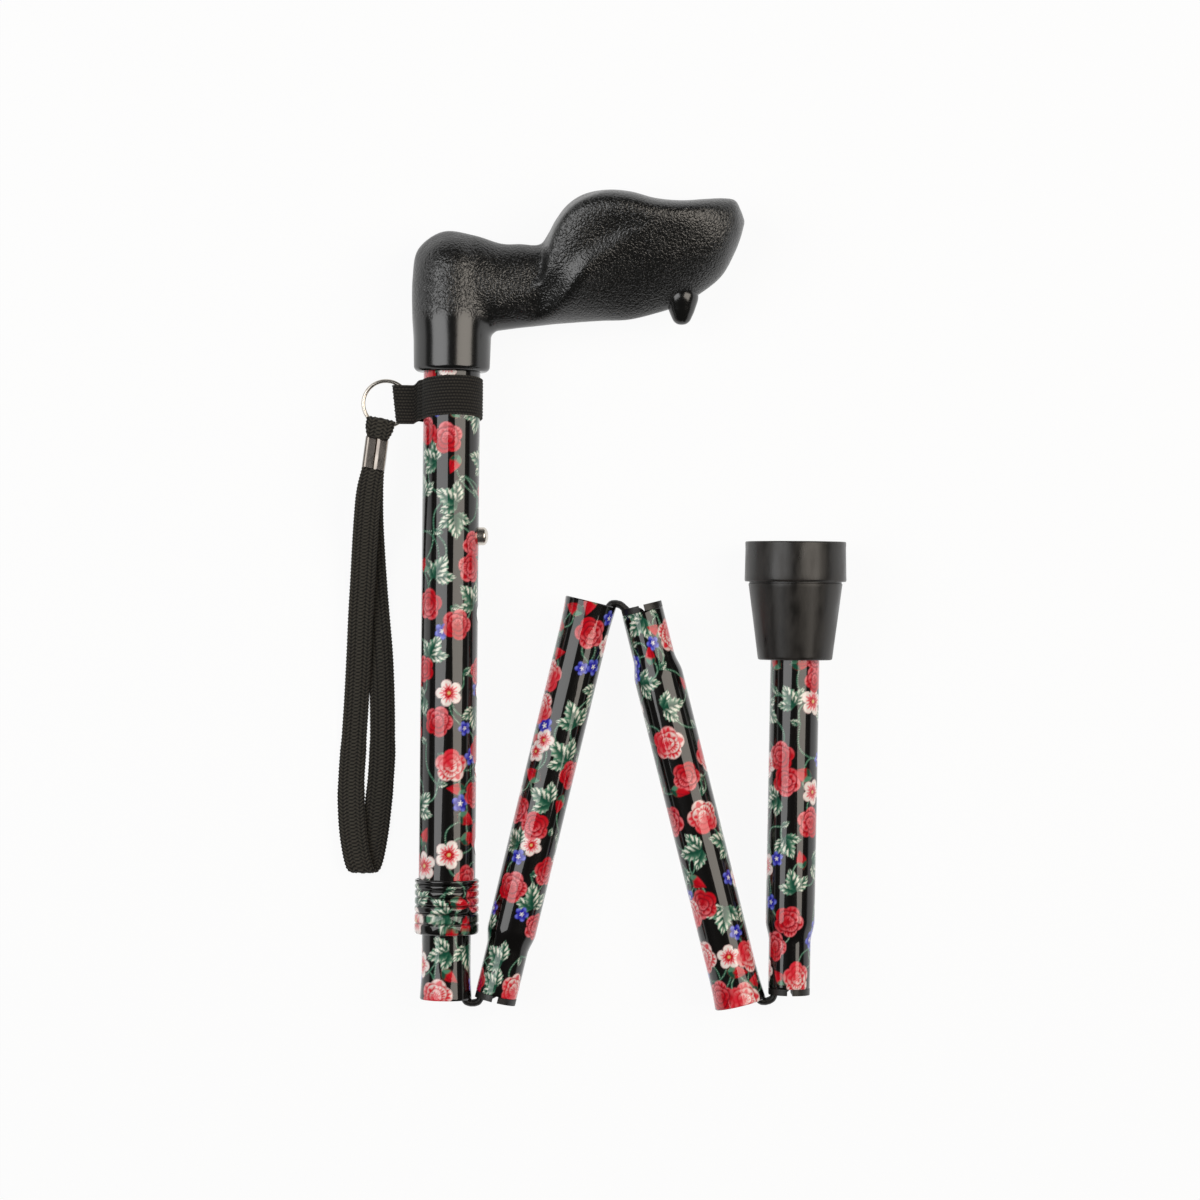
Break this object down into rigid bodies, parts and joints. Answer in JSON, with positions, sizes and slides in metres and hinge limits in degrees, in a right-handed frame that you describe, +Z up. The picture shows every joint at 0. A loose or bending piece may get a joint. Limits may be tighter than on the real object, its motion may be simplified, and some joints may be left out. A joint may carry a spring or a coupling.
{
  "type": "folding cane",
  "caption": "Folding walking cane, half folded: palm-grip handle, telescoping printed shaft on an elastic cord, lock collar, snap button, rubber ferrule and wrist strap.",
  "frame": {"origin": "middle of the folded cane without its strap, on the surface that it lies on", "axes": "+Y up the upper tube towards the handle, +X from the upper tube towards the ferrule, +Z up from the surface"},
  "size_m": [0.1966, 0.3176, 0.0433],
  "materials": {
    "grip": "moulded leather grain",
    "printed_tube": "gloss black with a printed flower pattern",
    "printed_collar": "gloss black with a printed pattern",
    "nylon": "matt moulded",
    "elastic": "ribbed elastic",
    "webbing": "knitted cord",
    "shock_cord": "braided elastic",
    "nickel": "bright nickel",
    "spring_steel": "plain steel",
    "rubber": "moulded matt"
  },
  "bodies": {
    "upper": {"palm_handle": "grip", "upper_tube": "printed_tube", "lock_bush": "nylon", "elastic_band": "elastic", "strap_ring": "nickel"},
    "strap": {"strap_eye": "webbing", "strap_crimp": "nickel", "wrist_strap": "webbing"},
    "clamp": {"clamp_ring": "nylon"},
    "collar": {"lock_collar": "printed_collar"},
    "inner": {"inner_tube": "printed_tube", "snap_spring": "spring_steel", "top_anchor": "nylon", "top_knot": "shock_cord", "cord_run_1": "shock_cord"},
    "button": {"snap_button": "nickel"},
    "bend_1": {"fold_cord_1": "shock_cord"},
    "section_2": {"tube_2": "printed_tube", "plug_2": "nylon", "cord_run_2": "shock_cord"},
    "bend_2": {"fold_cord_2": "shock_cord"},
    "section_3": {"tube_3": "printed_tube", "plug_3": "nylon", "cord_run_3": "shock_cord"},
    "bend_3": {"fold_cord_3": "shock_cord"},
    "section_4": {"tube_4": "printed_tube", "plug_4": "nylon", "cord_run_4": "shock_cord", "bottom_anchor": "nylon", "bottom_knot": "shock_cord", "ferrule_washer": "spring_steel", "ferrule": "rubber"}
  },
  "joints": [
    {"name": "height_slide", "type": "slide", "parent": "upper", "child": "inner", "axis": [0, -1, 0], "range_m": [0, 0.12], "deforming": ["snap_button", "snap_spring"]},
    {"name": "button_press", "type": "slide", "parent": "inner", "child": "button", "axis": [-1, 0, 0], "range_m": [0, 0.0056], "stiffness_N_per_m": 1500, "deforming": ["snap_spring"]},
    {"name": "collar_travel", "type": "slide", "parent": "upper", "child": "clamp", "axis": [0, -1, 0], "range_m": [0, 0.003]},
    {"name": "collar_turn", "type": "hinge", "parent": "clamp", "child": "collar", "pos_m": [-0.05959, -0.15473, 0.0196], "axis": [0, -1, 0], "range_deg": [0, 540]},
    {"name": "strap_swing", "type": "hinge", "parent": "upper", "child": "strap", "pos_m": [-0.08482, 0.07618, 0.0196], "axis": [0, 0, -1], "range_deg": [0, 75]},
    {"name": "fold_1", "type": "hinge", "parent": "inner", "child": "bend_1", "pos_m": [-0.05044, -0.15712, 0.0196], "axis": [0, 0, -1], "range_deg": [-5, 167], "deforming": ["fold_cord_1"]},
    {"name": "plug_in_1", "type": "slide", "parent": "bend_1", "child": "section_2", "axis": [-0.225, -0.9744, 0], "range_m": [0, 0.0257], "deforming": ["fold_cord_1"]},
    {"name": "fold_2", "type": "hinge", "parent": "section_2", "child": "bend_2", "pos_m": [0.00462, 0.00002, 0.0196], "axis": [0, 0, 1], "range_deg": [-5, 152.4], "deforming": ["fold_cord_2"]},
    {"name": "plug_in_2", "type": "slide", "parent": "bend_2", "child": "section_3", "axis": [-0.2521, 0.9677, 0], "range_m": [0, 0.0257], "deforming": ["fold_cord_2"]},
    {"name": "fold_3", "type": "hinge", "parent": "section_3", "child": "bend_3", "pos_m": [0.06405, -0.15553, 0.0196], "axis": [0, 0, -1], "range_deg": [-8, 164.9], "deforming": ["fold_cord_3"]},
    {"name": "plug_in_3", "type": "slide", "parent": "bend_3", "child": "section_4", "axis": [-0.0087, -1, 0], "range_m": [0, 0.0257], "deforming": ["fold_cord_3"]}
  ],
  "couplings": [
    {"joint": "collar_travel", "follows": "collar_turn", "m_per_rad": 0.000318},
    {"joint": "fold_2", "follows": "fold_1", "ratio": 0.91258}
  ]
}
